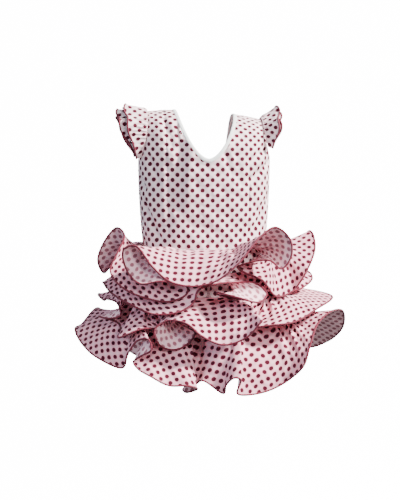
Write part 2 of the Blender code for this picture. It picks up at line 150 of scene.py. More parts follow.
# Each flounce: the height of its seam, its folds from the left side round the front to the right,
# and which of them, by seam angle, its hidden back repeats half a turn on. Where it repeats none, the
# back has plain flutes. Fold columns: seam angle where the fold starts (degrees), then where its hem
# edge lies: swing round the body (degrees), reach from the body's axis (mm), drop below the seam
# (mm), and bow, how far the cloth rises above a straight line to the hem (mm).
FLOUNCES = {
    "flounce_1": {
        "seam_z": -198.0,
        "turned": (),
        "front": (
            (-104, -98, 151, 45, 4),
            (-100, -94, 159, 24, 4),
            (-96, -90, 148, -7, 4),
            (-92, -85, 132, -27, 4),
            (-87, -74, 126, -18, 4),
            (-82, -69, 142, 5, 4),
            (-76, -67, 156, 29, 4),
            (-68, -55, 155, 50, 4),
            (-58, -42, 138, 64, 2),
            (-50, -29, 126, 67, 0),
            (-44, -19, 114, 56, 0),
            (-40, -20, 116, 44, 0),
            (-37, -32, 143, 36, 0),
            (-34, -43, 154, 40, 5),
            (-31, -52, 157, 20, 4),
            (-28, -54, 156, -5, 4),
            (-24, -47, 150, -12, 5),
            (-18, -37, 146, 15, 8),
            (-10, -28, 137, 36, 8),
            (-2, -14, 126, 44, 8),
            (6, 0, 132, 36, 8),
            (14, 13, 144, 9, 8),
            (20, 25, 148, -26, 7),
            (25, 35, 151, -38, 6),
            (30, 42, 162, -19, 8),
            (34, 42, 163, 6, 10),
            (38, 39, 153, 22, 11),
            (42, 34, 142, 10, 2),
            (46, 27, 118, 14, 0),
            (50, 23, 98, 24, 0),
            (54, 29, 103, 32, 0),
            (58, 39, 116, 42, 0),
            (65, 55, 120, 70, 2),
            (74, 67, 136, 66, 2),
            (82, 69, 154, 40, 2),
            (88, 81, 166, 5, 2),
            (93, 92, 162, -16, 2),
        ),
    },
    "flounce_2": {
        "seam_z": -232.0,
        "turned": (-72, 64),
        "front": (
            (-102, -98, 148, 28, 4),
            (-94, -86, 152, 20, 4),
            (-84, -71, 152, 28, 4),
            (-72, -53, 150, 38, 4),
            (-60, -38, 138, 51, 4),
            (-50, -23, 128, 47, 4),
            (-42, -14, 120, 34, 4),
            (-35, -11, 118, 17, 4),
            (-27, 2, 118, 8, 4),
            (-16, 18, 112, 8, 5),
            (-6, 30, 120, 10, 6),
            (1, 34, 136, 24, 6),
            (6, 27, 141, 34, 2),
            (12, 13, 137, 25, -6),
            (18, 3, 113, 21, -10),
            (23, 5, 98, 27, -11),
            (30, 22, 98, 34, -10),
            (40, 40, 104, 34, -4),
            (52, 56, 106, 32, -2),
            (64, 66, 114, 34, 0),
            (78, 73, 142, 32, 2),
            (90, 85, 163, 21, 2),
            (102, 97, 161, 13, 2),
        ),
    },
    "flounce_3": {
        "seam_z": -266.0,
        "turned": (-85, 74),
        "front": (
            (-100, -100, 152, 20, 4),
            (-92, -86, 146, 12, 8),
            (-85, -69, 142, 12, 9),
            (-80, -63, 146, 26, 7),
            (-76, -71, 156, 33, 0),
            (-72, -78, 163, 33, -6),
            (-68, -74, 138, 42, -10),
            (-63, -64, 144, 48, -8),
            (-56, -54, 165, 52, 2),
            (-50, -43, 148, 38, -4),
            (-45, -36, 116, 42, -4),
            (-41, -27, 98, 42, -5),
            (-37, -15, 98, 47, -5),
            (-33, -17, 112, 58, -4),
            (-30, -26, 123, 69, -2),
            (-27, -34, 138, 61, 0),
            (-23, -37, 139, 39, 1),
            (-18, -30, 133, 26, 2),
            (-11, -17, 140, 27, 1),
            (-2, -8, 143, 44, 4),
            (6, 5, 137, 58, 10),
            (14, 17, 150, 46, 8),
            (20, 23, 162, 22, 4),
            (25, 24, 150, 30, 0),
            (30, 20, 128, 36, -3),
            (35, 17, 112, 38, -5),
            (41, 24, 118, 40, -5),
            (49, 35, 141, 36, -2),
            (60, 47, 161, 33, 4),
            (74, 61, 176, 20, 4),
            (87, 86, 193, 13, 4),
        ),
    },
    "flounce_4": {
        "seam_z": -300.0,
        "turned": (-75, 74),
        "front": (
            (-101, -102, 187, 24, 6),
            (-93, -90, 194, 24, 8),
            (-84, -78, 189, 38, 8),
            (-75, -65, 180, 52, 8),
            (-66, -53, 161, 62, 6),
            (-60, -51, 157, 43, 2),
            (-55, -46, 151, 22, 4),
            (-50, -37, 155, 17, 4),
            (-46, -35, 158, 30, 5),
            (-42, -42, 158, 42, 5),
            (-38, -47, 156, 52, 2),
            (-34, -42, 161, 60, -2),
            (-29, -34, 164, 67, -2),
            (-23, -26, 153, 80, 0),
            (-17, -16, 149, 80, 0),
            (-13, -11, 133, 88, 0),
            (-10, -19, 124, 96, 0),
            (-7, -22, 116, 93, -7),
            (-3, -14, 108, 88, -9),
            (1, -8, 112, 81, -4),
            (5, 6, 126, 97, 3),
            (9, 7, 130, 84, 4),
            (12, 11, 140, 72, 4),
            (15, 14, 145, 74, 6),
            (18, 13, 138, 95, 8),
            (25, 24, 133, 101, 8),
            (34, 37, 142, 96, 8),
            (44, 44, 160, 81, 8),
            (54, 46, 179, 60, 6),
            (64, 50, 181, 35, 4),
            (74, 62, 178, 8, 2),
            (82, 72, 191, -5, 2),
            (88, 82, 209, 0, 2),
            (93, 92, 216, 33, 4),
            (98, 103, 208, 62, 4),
            (104, 114, 192, 77, 4),
        ),
    },
}

# How all flounces are made: see plain_flutes, flounce_sheet, annulus_cut and ripples.
FLUTES = 5
FLUTE_ROW = {"lead": 3.0, "reach": (140.0, 8.0), "drop": (24.0, 10.0), "bow": 4.0}
FOLD_GROWTH = 1.5
PLAIN_REACH = 62.0
PLAIN_DROP = 32.0
HEM_STEPS = 640
DEPTH_STEPS = 30
FLOUNCE_OFF_BASE = 1.0
FLOUNCE_BELOW_SEAM = 1.0
FLAT_RING = 45.0
RIPPLES = 38
RIPPLE_HEIGHT = 4.8
FINE_RIPPLE_SHARE = 0.4

# The overlocked thread round each hem, a cord of this radius: see hem_cord.
HEM_CORD = 1.4
HEM_CORD_SIDES = 8
HEM_CORD_END = 0.05

# Each sleeve layer: side, where round the armhole it starts, as a share of the whole way round, how
# far its hem stands from the dress's middle plane, how far its seam and its hem lie outside the
# armhole edge, the waves round its hem, and their height.
SLEEVES = {
    "sleeve_over_left": (-1, 0.03, 117.0, 2.6, 8.0, 5.0, 3.2),
    "sleeve_under_left": (-1, 0.03, 128.0, 0.6, -0.5, 4.5, 3.3),
    "sleeve_over_right": (1, 0.1, 108.0, 2.6, 17.0, 5.0, 3.2),
    "sleeve_under_right": (1, 0.1, 113.0, 0.6, 7.0, 4.5, 3.3),
}
SLEEVE_STEPS = 420
SLEEVE_ROWS = 24
SLEEVE_FULLNESS = 4
SLEEVE_LEAST_LENGTH = 6.0
SLEEVE_LEAST_SPREAD = 0.4
SLEEVE_FROM_PANEL = 0.45
ARMHOLE_MIDDLE = 0.55
SCALLOP_SHARE = 0.6
GATHERS = 34
GATHER_HEIGHT = 2.2
GATHERS_FULL_AT = 0.12

# The pitch of the cotton's weave, of the binding's and of the turns of thread round a hem.
WARP_PITCH = 0.5
BIAS_PITCH = 0.7
THREAD_PITCH = 0.9

# The paper, all in metres: see paper_sweep. It starts to glow at one Y and glows fully at another.
PAPER_FRONT_Y = -3.0
PAPER_BEND_Y = 2.0
PAPER_BEND = 1.5
PAPER_FLOOR = -1.1
PAPER_TOP = 4.0
PAPER_HALF_WIDTH = 5.0
PAPER_GLOW = 14.0
PAPER_GLOW_Y = (0.3, 1.4)

# The studio's lights: name, place, size, power in watts, and colour.
ROOM_LIGHT = 0.3
LIGHTS_AIM = (0.0, 0.0, -0.2)
LIGHTS = (
    ("Key", (2.2, -0.95, 1.9), 0.3, 540.0, (1.0, 0.97, 0.95)),
    ("Front", (0.9, -2.4, 1.1), 0.8, 56.0, (1.0, 1.0, 1.0)),
    ("Cool fill", (-1.9, -1.0, 0.5), 1.2, 32.0, (0.66, 0.82, 1.0)),
)

# The camera: metres and degrees, its sensor's height in mm, and the photograph's in pixels.
CAMERA_DISTANCE = 1.9
CAMERA_AZIMUTH = -7
CAMERA_ELEVATION = 8
CAMERA_AIM_Z = -0.208
CAMERA_SHIFT = -0.008
SENSOR = 36
PHOTO_HEIGHT = 500
MM_A_PIXEL = 1.5


# Shader maths as Python expressions


class Wire:
    """One output of a node. Arithmetic on it adds Math nodes."""

    def __init__(self, finish, socket):
        self.finish = finish
        self.socket = socket

    def math(self, operation, *others):
        return self.finish.node("ShaderNodeMath", {"operation": operation}, [self, *others])

    def __add__(self, other):
        return self.math("ADD", other)

    def __sub__(self, other):
        return self.math("SUBTRACT", other)

    def __mul__(self, other):
        return self.math("MULTIPLY", other)

    def __truediv__(self, other):
        return self.math("DIVIDE", other)

    __radd__ = __add__


class Finish:
    """A material of one Principled shader. node() adds any other node to it."""

    def __init__(self, name, constants):
        self.material = bpy.data.materials.new(name)
        self.material.use_nodes = True
        self.nodes = self.material.node_tree.nodes
        self.links = self.material.node_tree.links
        self.shader = self.nodes["Principled BSDF"]
        for socket, value in constants.items():
            self.shader.inputs[socket].default_value = value

    def put(self, socket, value):
        if isinstance(value, Wire):
            self.links.new(value.socket, socket)
        else:
            socket.default_value = value

    def node(self, kind, settings=None, inputs=(), output=0):
        """A new node: its settings, then its sockets by number or by name, and the output to read."""
        made = self.nodes.new(kind)
        for setting, value in (settings or {}).items():
            setattr(made, setting, value)
        pairs = inputs.items() if isinstance(inputs, dict) else enumerate(inputs)
        for socket, value in pairs:
            self.put(made.inputs[socket], value)
        return Wire(self, made.outputs[output])

    def mix(self, share, first, second):
        """The first colour where share is 0 and the second where it is 1. A Mix node keeps its colours
        in sockets 6 and 7, and gives the mixed one as output 2."""
        inputs = {0: share, 6: first, 7: second}
        return self.node("ShaderNodeMix", {"data_type": "RGBA"}, inputs, 2)

    def ramp(self, value, start, end, kind):
        """0 where value is start or beyond it, 1 at end. kind says how it goes from one to the other."""
        inputs = {"Value": value, "From Min": start, "From Max": end}
        return self.node("ShaderNodeMapRange", {"interpolation_type": kind}, inputs)

    def parts(self, vector):
        """The X, Y and Z of a vector."""
        apart = self.nodes.new("ShaderNodeSeparateXYZ")
        self.links.new(vector.socket, apart.inputs[0])
        return [Wire(self, output) for output in apart.outputs]

    def cut(self):
        """The place on the flat pattern, then its two coordinates in mm."""
        uv = self.node("ShaderNodeUVMap", {"uv_map": "Cut"})
        across, along, _ = self.parts(uv)
        return uv, across * (1 / MM), along * (1 / MM)

    def noise(self, place, scale, detail):
        inputs = {"Vector": place, "Scale": scale, "Detail": detail}
        return self.node("ShaderNodeTexNoise", {}, inputs, "Fac")

    def colour(self, value):
        self.put(self.shader.inputs["Base Color"], value)

    def rough(self, value):
        self.put(self.shader.inputs["Roughness"], value)

    def bump(self, *layers):
        """Bump layers (height in mm, distance in metres, strength), each on top of the last."""
        normal = None
        for height, distance, strength in layers:
            inputs = {"Height": height, "Distance": distance, "Strength": strength}
            if normal:
                inputs["Normal"] = normal
            normal = self.node("ShaderNodeBump", {}, inputs)
        self.put(self.shader.inputs["Normal"], normal)


def rgb(red, green, blue):
    """A linear colour from the 0 to 255 numbers of a screen colour."""
    part = np.array([red, green, blue]) / 255
    linear = np.where(part > 0.04045, ((part + 0.055) / 1.055) ** 2.4, part / 12.92)
    return (*linear.tolist(), 1.0)


def wave(length, pitch):
    """A sine wave along a length, once every pitch."""
    return (length * (2 * math.pi / pitch)).math("SINE")


def dot_distance(across, along, turn, start):
    """Distance in mm from the middle of the nearest dot, on a square lattice turned by turn degrees
    about start."""
    cosine, sine = math.cos(math.radians(turn)), math.sin(math.radians(turn))
    x = across - start[0]
    y = along - start[1]
    cell = []
    for side in (x * cosine + y * sine, y * cosine - x * sine):
        near = (side / DOT_PITCH + 0.5).math("FRACT") - 0.5
        cell.append(near * DOT_PITCH)
    return (cell[0] * cell[0] + cell[1] * cell[1]).math("SQRT")


def printed_cotton(name, turn, start, ground, dot, depth):
    """Plain-woven cotton with printed dots, each in a faint ring where its red has bled. ground holds
    the cloth's two shades and the ring's, dot the ink's two, and depth is how much of the ink shows."""
    finish = Finish(name, {"Specular IOR Level": 0.2})
    uv, across, along = finish.cut()
    ragged = finish.noise(uv, 900.0, 2.0)
    distance = dot_distance(across, along, turn, start) + (ragged - 0.5) * INK_RAGGED
    inside = finish.ramp(distance, DOT_RADIUS + INK_EDGE, DOT_RADIUS - INK_EDGE, "SMOOTHSTEP")
    worn = finish.noise(uv, 160.0, 3.0)
    cloth = finish.mix(worn, rgb(*ground[0]), rgb(*ground[1]))
    ink = finish.mix(finish.noise(uv, 400.0, 2.0), rgb(*dot[0]), rgb(*dot[1]))
    bleed = finish.ramp(distance, DOT_RADIUS + INK_BLEED, DOT_RADIUS, "LINEAR")
    cloth = finish.mix(bleed * INK_BLEED_DEPTH, cloth, rgb(*ground[2]))
    finish.colour(finish.mix(inside * depth, cloth, ink))
    weave = wave(across, WARP_PITCH) * wave(along, WARP_PITCH)
    slub = finish.noise(uv, 260.0, 4.0)
    soft = finish.noise(uv, 36.0, 2.0)
    finish.rough(0.78 + worn * 0.14)
    finish.bump((soft, 0.012, 0.7), (slub, 0.0006, 0.3), (weave, 0.00008, 0.4))
    return finish.material


def white_binding():
    finish = Finish("White bias binding", {"Sheen Weight": 0.15})
    uv, across, along = finish.cut()
    worn = finish.noise(uv, 200.0, 3.0)
    finish.colour(finish.mix(worn, rgb(226, 229, 226), rgb(240, 241, 238)))
    diagonal = wave(across + along, BIAS_PITCH)
    finish.rough(0.75 + worn * 0.15)
    finish.bump((worn, 0.0008, 0.3), (diagonal, 0.0001, 0.5))
    return finish.material


def overlock_thread(name, dark, light):
    """Thread wrapped over an edge: narrow turns across the cord, each a little different. The turns also
    darken and lighten its colour: painted shade in the grooves between them.
    """
    finish = Finish(name, {"Sheen Weight": 0.1})
    uv, across, along = finish.cut()
    turns_bump_and_shade = wave(along + across * 0.35, THREAD_PITCH)
    shade = finish.noise(uv, 350.0, 3.0)
    # The colour follows the turns: painted shade between them, on top of their bump.
    finish.colour(finish.mix(turns_bump_and_shade * 0.3 + shade, rgb(*dark), rgb(*light)))
    finish.rough(0.6 + shade * 0.2)
    finish.bump((turns_bump_and_shade, 0.00018, 0.8))
    return finish.material


def glossy_button():
    finish = Finish("White button", {"Coat Weight": 0.3, "Coat Roughness": 0.15})
    uv, _, _ = finish.cut()
    cloud = finish.noise(uv, 220.0, 3.0)
    finish.colour(finish.mix(cloud, rgb(232, 230, 222), rgb(247, 246, 241)))
    finish.rough(0.22 + cloud * 0.12)
    return finish.material


# Meshes


def put_mesh(name, points, groups, uv, finishes):
    """A mesh from points in mm, groups of (faces, number of their finish) and a UV in mm at each point."""
    mesh = bpy.data.meshes.new(name)
    corners = np.concatenate([faces.ravel() for faces, _ in groups])
    sizes = np.concatenate([np.full(len(faces), faces.shape[1]) for faces, _ in groups])
    starts = np.concatenate([[0], np.cumsum(sizes)[:-1]])
    mesh.vertices.add(len(points))
    mesh.vertices.foreach_set("co", (points * MM).ravel())
    mesh.loops.add(len(corners))
    mesh.loops.foreach_set("vertex_index", corners)
    mesh.polygons.add(len(sizes))
    mesh.polygons.foreach_set("loop_start", starts)
    mesh.polygons.foreach_set("loop_total", sizes)
    number = np.concatenate([np.full(len(faces), which) for faces, which in groups])
    mesh.polygons.foreach_set("material_index", number)
    mesh.update(calc_edges=True)
    mesh.uv_layers.new(name="Cut").data.foreach_set("uv", (uv[corners] * MM).ravel())
    for finish in finishes:
        mesh.materials.append(finish)
    mesh.shade_smooth()
    mesh.set_sharp_from_angle(angle=math.radians(SHARP_ANGLE))
    mesh.validate()
    made = bpy.data.objects.new(name, mesh)
    bpy.context.collection.objects.link(made)
    return made


def numbered(columns, rows, wrap):
    """The points' numbers in a grid, all of them, then those of each column and of the one after it."""
    number = np.arange(columns * rows).reshape(columns, rows)
    if wrap:
        return number, number, np.roll(number, -1, axis=0)
    return number, number[:-1], number[1:]


def grid_faces(columns, rows, wrap):
    """Quads of a grid of points, columns first, whose order turns their faces to the normal."""
    _, here, after = numbered(columns, rows, wrap)
    quads = [here[:, :-1], after[:, :-1], after[:, 1:], here[:, 1:]]
    return np.stack(quads, -1).reshape(-1, 4)


def tube(name, rings, uv, wrap, order, finish):
    """A mesh of rings of points one after another, with a face across each end unless they wrap round.
    order is 1 or -1, for the way its faces' points run."""
    number, here, after = numbered(*rings.shape[:2], wrap)
    quads = [here, after, np.roll(after, -1, axis=1), np.roll(here, -1, axis=1)]
    faces = [np.stack(quads, -1).reshape(-1, 4)]
    if not wrap:
        faces += [number[:1, ::-1], number[-1:]]
    groups = [(each[:, ::order], 0) for each in faces]
    return put_mesh(name, rings.reshape(-1, 3), groups, uv.reshape(-1, 2), [finish])


def shell(name, outer, inner, faces, uv, finishes):
    """A closed sheet of cloth between matching outer and inner points, with a rim round its edges."""
    count = len(outer)
    turned = np.roll(faces, -1, axis=1)
    sides = np.stack([faces.ravel(), turned.ravel()], -1)
    code = sides[:, 0] * count + sides[:, 1]
    rim = sides[~np.isin(code, sides[:, 1] * count + sides[:, 0])]
    rim = np.stack([rim[:, 1], rim[:, 0], rim[:, 0] + count, rim[:, 1] + count], -1)
    groups = [(faces, 0), (faces[:, ::-1] + count, 1), (rim, 0)]
    return put_mesh(name, np.concatenate([outer, inner]), groups, np.concatenate([uv, uv]), finishes)


def grid_shell(name, grid, normal, uv, wrap, finishes):
    """A shell of cloth with its middle on a grid of points."""
    half = normal * CLOTH / 2
    faces = grid_faces(*grid.shape[:2], wrap)
    outer = (grid + half).reshape(-1, 3)
    inner = (grid - half).reshape(-1, 3)
    return shell(name, outer, inner, faces, uv.reshape(-1, 2), finishes)


def unit(vectors):
    return vectors / np.maximum(np.linalg.norm(vectors, axis=-1, keepdims=True), 1e-9)


def lengths(points, axis=0):
    """How far each point lies along its line of points, which run along axis."""
    steps = np.linalg.norm(np.diff(points, axis=axis), axis=-1)
    return np.insert(steps.cumsum(axis=axis), 0, 0.0, axis=axis)


def ahead(points, wrap):
    """The way on at each point, from its neighbours before and after it."""
    if wrap:
        return np.roll(points, -1, axis=0) - np.roll(points, 1, axis=0)
    return np.gradient(points, axis=0)


def grid_normals(grid, wrap):
    return unit(np.cross(ahead(grid, wrap), np.gradient(grid, axis=1)))


def hem_cord(name, path, side, closed, finish):
    """A round cord along path, its points HEM_CORD * (cos t * side + sin t * (direction x side)) off
    it. Where it is open, its ends are drawn in to a point."""
    direction = unit(ahead(path, closed))
    side = unit(side - direction * (side * direction).sum(-1, keepdims=True))
    other = np.cross(direction, side)
    turn = np.linspace(0, 2 * math.pi, HEM_CORD_SIDES, endpoint=False)
    size = np.full(len(path), HEM_CORD)
    if not closed:
        size[[0, -1]] = HEM_CORD * HEM_CORD_END
    ring = np.cos(turn)[None, :, None] * side[:, None] + np.sin(turn)[None, :, None] * other[:, None]
    points = path[:, None] + ring * size[:, None, None]
    uv = np.stack(np.broadcast_arrays(turn * HEM_CORD, lengths(path)[:, None]), -1)
    return tube("hem_" + name, points, uv, closed, -1, finish)


# The body's form


def superellipse(angle, half_width, half_depth):
    """X and Y of the body's section: |x/half_width|^n + |y/half_depth|^n = 1, n the roundness."""
    sine = np.sin(np.radians(angle))
    cosine = np.cos(np.radians(angle))
    x = half_width * np.sign(sine) * np.abs(sine) ** (2 / ROUNDNESS)
    y = -half_depth * np.sign(cosine) * np.abs(cosine) ** (2 / ROUNDNESS)
    return x, y


def angle_at_x(x):
    """Angle round the chest at which the section is x wide, for 0 <= x <= its half width."""
    return np.degrees(np.arcsin(np.minimum(np.abs(x) / CHEST_HALF_WIDTH, 1.0) ** (ROUNDNESS / 2)))


def half_width_at(z):
    """Half width of the bodice: full at the chest, easing in to the waist."""
    down = np.clip((CHEST_Z - z) / (CHEST_Z - WAIST_Z), 0, 1)
    return CHEST_HALF_WIDTH - (CHEST_HALF_WIDTH - WAIST_HALF_WIDTH) * down**2


def bodice_point(angle, climb):
    """A point of the bodice's outer face, climb mm up along the cloth from the waist seam. Above the
    chest the front and the back lean in on a quarter circle and meet at the shoulder ridge, which
    falls towards the arms and, as the dress is worn, a little more on the +X side."""
    lean = np.maximum(climb - (CHEST_Z - WAIST_Z), 0) / -CHEST_Z
    z = np.where(lean > 0, CHEST_Z - CHEST_Z * np.sin(lean), WAIST_Z + climb)
    x, y = superellipse(angle, half_width_at(z), BODY_HALF_DEPTH)
    fall = SHOULDER_FALL * (x / CHEST_HALF_WIDTH) ** 2 + SHOULDER_TILT * x
    return np.stack([x, y * np.cos(lean), z - fall * np.sin(lean) ** 2], -1)


def bodice_normal(angle, climb):
    """Outward unit normal of the bodice's outer face."""
    step = 0.05
    around = bodice_point(angle + step, climb) - bodice_point(angle - step, climb)
    upward = bodice_point(angle, climb + step) - bodice_point(angle, climb - step)
    return unit(np.cross(around, upward))


def climb_to(z):
    """How far up along the cloth the height z lies. It stops a seam gap short of the ridge."""
    lean = np.arcsin(np.clip((z - CHEST_Z) / -CHEST_Z, 0, 1))
    over_chest = CHEST_Z - WAIST_Z - CHEST_Z * lean
    ridge = CHEST_Z - WAIST_Z - CHEST_Z * math.pi / 2 - SEAM_GAP
    return np.minimum(np.where(z > CHEST_Z, over_chest, z - WAIST_Z), ridge)


def arc_to(angle):
    """Length round the chest's section from the centre front to an angle, with the angle's sign."""
    turn = np.linspace(0, 180, 1801)
    x, y = superellipse(turn, CHEST_HALF_WIDTH, BODY_HALF_DEPTH)
    length = np.append(0, np.cumsum(np.hypot(np.diff(x), np.diff(y))))
    return np.sign(angle) * np.interp(np.abs(angle), turn, length)


def armhole_edge(share):
    """Angle and climb of the armhole edge: share 0 at the shoulder ridge, 1 at the underarm."""
    ridge = climb_to(0.0)
    angle = 90 - ARMHOLE_SPAN * np.sqrt(1 - share**ARMHOLE_CURVE)
    return angle, ridge + (climb_to(ARMHOLE_Z) - ridge) * share


def down_neck(steps):
    """Shares down the front neck edge, closer together towards its blunt lowest point."""
    return 1 - np.linspace(1, 0, steps) ** NECK_CROWDING


def neck_edge(share, drop, curve, blunt, lower):
    """Angle and climb of the neck edge: share 0 at the shoulder ridge, 1 at the lowest point. lower
    is 0 at the garment's edge, 1 at the binding's seam, a little less at the panel under it."""
    ridge = climb_to(0.0)
    half_width = NECK_HALF_WIDTH + BINDING_WIDTH * lower
    depth = ridge - climb_to(-drop - BINDING_DROP * lower)
    return angle_at_x(half_width * (1 - share**curve) ** blunt), ridge - depth * share


# Bodice panels


def outline(*edges):
    """One closed outline of angles and climbs from edges that each start where the last one ends."""
    pieces = [np.stack(np.broadcast_arrays(*edge), -1)[:-1] for edge in edges]
    return np.concatenate(pieces)


def inside_points(border):
    """A staggered field of points in a flat outline, clear of its edges, in mm."""
    low, high = border.min(axis=0), border.max(axis=0)
    across = np.arange(low[0], high[0], PANEL_CELL)
    upward = np.arange(low[1], high[1], PANEL_ROW)
    x, y = np.meshgrid(across, upward)
    x[1::2] += PANEL_CELL / 2
    points = np.stack([x.ravel(), y.ravel()], -1)
    start = border[None]
    along = np.roll(border, -1, axis=0)[None] - start
    share = ((points[:, None] - start) * along).sum(-1) / (along**2).sum(-1)
    nearest = start + along * np.clip(share, 0, 1)[..., None]
    distance = np.linalg.norm(points[:, None] - nearest, axis=-1).min(axis=1)
    return points[distance > PANEL_MARGIN]


def relief(angle, climb):
    """How far the cloth lies off the body's smooth form, in mm: each crease is -depth * exp(-(distance
    from its line / half width)^2), each seam a groove of the same kind with small puckers beside it,
    and short ripples stand above the waist seam. The sines inside sines make ripples and puckers
    uneven."""
    across = arc_to(angle)
    waist = np.sin(across / 2.9 + 1.5 * np.sin(across / 13)) * np.exp(-climb / WAIST_RIPPLE_CLIMB)
    height = WAIST_RIPPLE_HEIGHT * waist
    for start, low, end, high, depth, width in CREASES:
        run, rise = end - start, high - low
        share = np.clip(((across - start) * run + (climb - low) * rise) / (run**2 + rise**2), 0, 1)
        distance = np.hypot(across - start - run * share, climb - low - rise * share)
        height -= depth * np.exp(-((distance / width) ** 2))
    for seam in (angle_at_x(PRINCESS_SEAM_X), 90.0, 180.0):
        distance = np.abs(np.abs(across) - arc_to(seam))
        pucker = PUCKER * np.sin(climb * 0.95 + 2 * np.sin(climb / 11) + np.sign(across) * 1.3)
        groove = SEAM_GROOVE * np.exp(-((distance / SEAM_GROOVE_WIDTH) ** 2))
        height += pucker * np.exp(-((distance / PUCKER_WIDTH) ** 2)) - groove
    return height


def panel(name, border, finishes):
    """A bodice panel cut to an outline of angles and climbs and laid on the body's surface."""
    scale = np.array([ANGLE_LENGTH, 1.0])
    flat = border * scale
    points = np.concatenate([flat, inside_points(flat)])
    ring = [list(range(len(flat)))]
    corners, _, faces, *_ = delaunay_2d_cdt([tuple(point) for point in points], [], ring, 1, 1e-6)
    place = np.array([tuple(corner) for corner in corners]) / scale
    normal = bodice_normal(place[:, 0], place[:, 1])
    outer = bodice_point(place[:, 0], place[:, 1]) + normal * relief(place[:, 0], place[:, 1])[:, None]
    inner = outer - normal * CLOTH
    uv = np.stack([arc_to(place[:, 0]), place[:, 1]], -1)
    return shell(name, outer, inner, np.array(faces), uv, finishes)


def line(start, end, step):
    """Even numbers from start to end, at most step apart."""
    return np.linspace(start, end, 2 + int(abs(end - start) / step))


def front_center(finishes):
    """From one princess seam to the other, with the V neck in its top edge."""
    top = climb_to(0.0)
    seam = angle_at_x(PRINCESS_SEAM_X)
    neck, climb = neck_edge(down_neck(60), **NECK_FRONT, lower=PANEL_LOWER)
    border = outline(
        (line(-seam, seam, EDGE_TURN), 0.0),
        (seam, line(0, top, EDGE_CLIMB)),
        (line(seam, neck[0], EDGE_TURN), top),
        (neck, climb),
        (-neck[::-1], climb[::-1]),
        (line(-neck[0], -seam, EDGE_TURN), top),
        (-seam, line(top, 0, EDGE_CLIMB)),
    )
    return panel("cloth_front_center", border, finishes)


def front_side(word, side, finishes):
    """From the princess seam to the side seam, with the armhole in its top edge."""
    top = climb_to(0.0)
    seam = angle_at_x(PRINCESS_SEAM_X)
    arm, climb = armhole_edge(np.linspace(1, 0, ARMHOLE_STEPS))
    border = outline(
        (line(seam, 90, EDGE_TURN), 0.0),
        (90.0, line(0, climb[0], EDGE_CLIMB)),
        (arm, climb),
        (line(arm[-1], seam, EDGE_TURN), top),
        (seam, line(top, 0, EDGE_CLIMB)),
    )
    return panel(f"cloth_front_side_{word}", border * np.array([side, 1]), finishes)


def back(word, side, finishes):
    """From the side seam to the centre back, below the armhole, the shoulder and the back scoop."""
    arm, arm_climb = armhole_edge(np.linspace(0, 1, ARMHOLE_STEPS))
    neck, neck_climb = neck_edge(np.linspace(1, 0, 80), **NECK_BACK, lower=PANEL_LOWER)
    border = outline(
        (line(90, 180, EDGE_TURN), 0.0),
        (180.0, line(0, neck_climb[0], EDGE_CLIMB)),
        (180 - neck, neck_climb),
        (line(180 - neck[-1], 180 - arm[0], EDGE_TURN), climb_to(0.0)),
        (180 - arm, arm_climb),
        (90.0, line(arm_climb[-1], 0, EDGE_CLIMB)),
    )
    return panel(f"cloth_back_{word}", border * np.array([side, 1]), finishes)


def neck_line(lower):
    """Angles and climbs once round the neck, from the centre back over the left shoulder, the V and
    the right shoulder to the centre back, for one value of lower."""
    front, front_climb = neck_edge(down_neck(90), **NECK_FRONT, lower=lower)
    over, over_climb = neck_edge(np.linspace(1, 0, 130), **NECK_BACK, lower=lower)
    half = np.concatenate([180 - over, front])
    climb = np.concatenate([over_climb, front_climb])
    return np.concatenate([-half, half[-2::-1]]), np.concatenate([climb, climb[-2::-1]])


def neck_binding(finish):
    """A folded strip round the neck edge. Its section is an ellipse: lower = 0.5 - 0.55 cos t and
    height off the cloth = BINDING_BULGE * sin t - BINDING_SINK."""
    section = np.linspace(0, 2 * math.pi, 16, endpoint=False)
    rings = []
    for turn in section:
        angle, climb = neck_line(0.5 - 0.55 * math.cos(turn))
        height = BINDING_BULGE * math.sin(turn) - BINDING_SINK
        rings.append(bodice_point(angle, climb) + bodice_normal(angle, climb) * height)
    points = np.stack(rings, 1)
    across = section * BINDING_WIDTH / math.pi
    uv = np.stack(np.broadcast_arrays(across, lengths(points[:, 0])[:, None]), -1)
    return tube("cloth_neck_binding", points, uv, False, 1, finish)


# Sleeves


def armhole_loop(turn, side):
    """The armhole edge and the way out of the loop at each point. turn runs 0 to 1 from the front
    underarm, over the shoulder, to the back underarm."""
    angle, climb = armhole_edge(np.abs(1 - 2 * turn))
    edge = bodice_point(side * np.where(turn <= 0.5, angle, 180 - angle), climb)
    away = edge - np.array([0.0, 0.0, ARMHOLE_Z * ARMHOLE_MIDDLE])
    away[:, 0] = 0
    return edge, unit(away)


